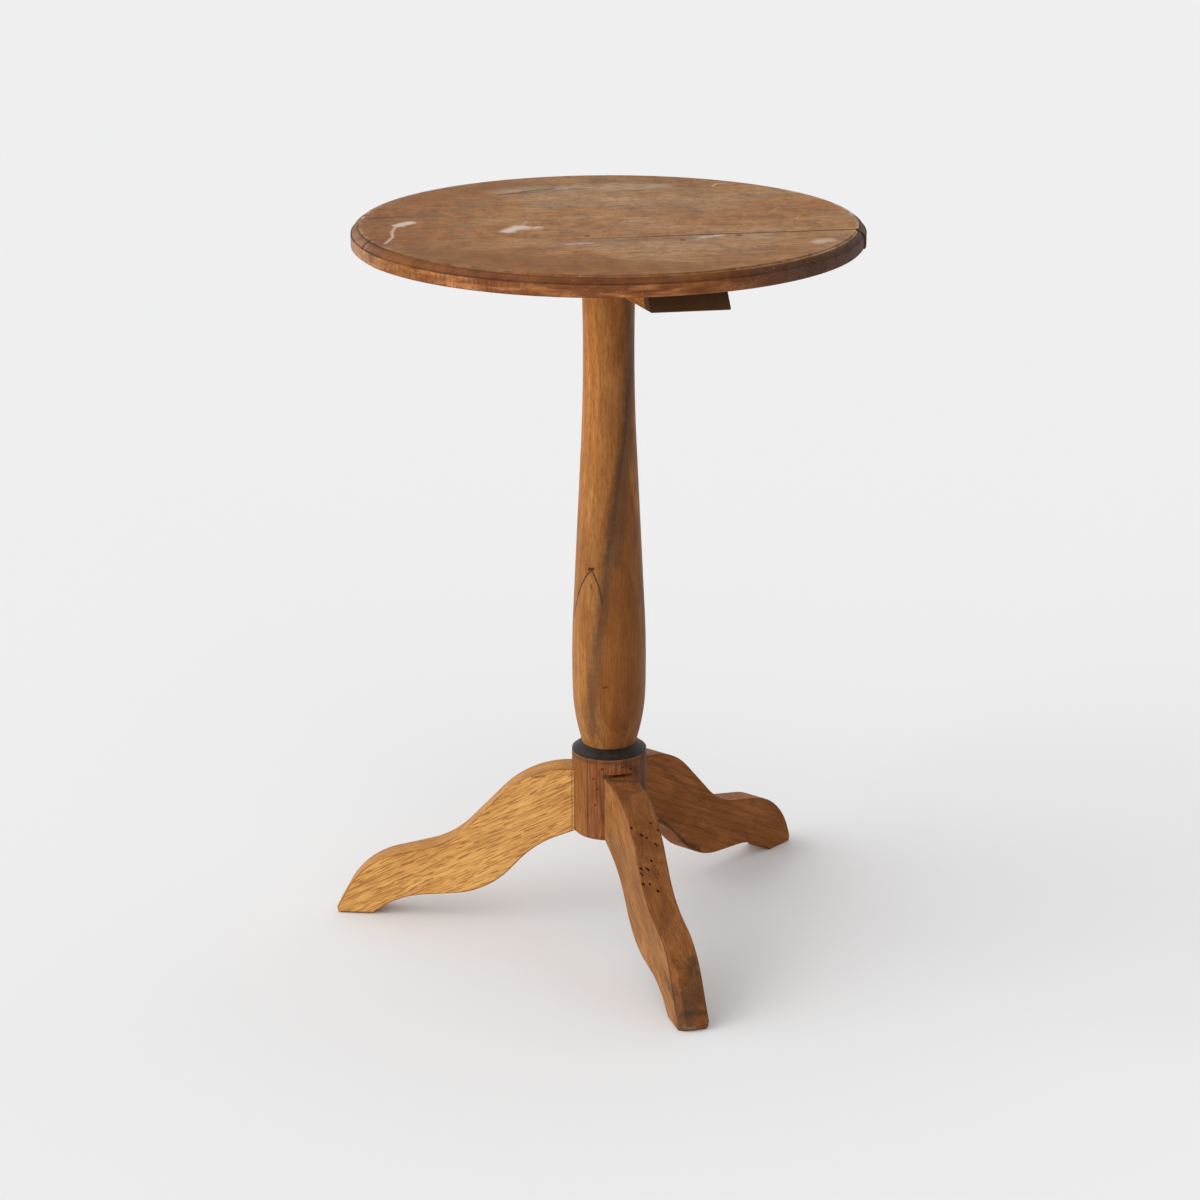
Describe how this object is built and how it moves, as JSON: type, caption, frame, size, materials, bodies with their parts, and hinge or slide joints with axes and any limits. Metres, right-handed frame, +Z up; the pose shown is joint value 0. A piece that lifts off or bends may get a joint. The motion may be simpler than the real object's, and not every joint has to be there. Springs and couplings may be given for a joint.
{
  "type": "pedestal side table",
  "caption": "Round pedestal side table: a moulded two-board top on a turned baluster column, a black collar and a turned hub that carries splayed ogee legs on sliding dovetails.",
  "frame": {"origin": "on the floor plane of the soles, straight under the column's turning axis", "axes": "+Z up along the column; +X to the right and -Y towards the viewer as the table stands in the picture"},
  "size_m": [0.5098, 0.5047, 0.7],
  "materials": {
    "top_wood": "worn waxed walnut",
    "hidden_wood": "raw, unfinished",
    "batten_wood": "planed, unfinished",
    "screw_iron": "dull, oxidised",
    "column_wood": "waxed, satin",
    "collar_ebonised": "ebonised, semi-matt",
    "hub_wood": "waxed, worn",
    "leg_wood_light": "waxed, open pores",
    "leg_wood_brown": "waxed, worn",
    "leg_wood_dark": "waxed, satin"
  },
  "bodies": {
    "root": {"top_rear_board": "top_wood", "top_front_board": "top_wood", "seam_dowels": "hidden_wood", "batten": "batten_wood", "batten_screws": "screw_iron", "column": "column_wood", "upper_tenon_wedge": "hidden_wood", "lower_tenon_wedge": "hidden_wood", "collar": "collar_ebonised", "hub": "hub_wood", "leg_left": "leg_wood_light", "leg_front": "leg_wood_brown", "leg_right": "leg_wood_dark"}
  },
  "joints": []
}
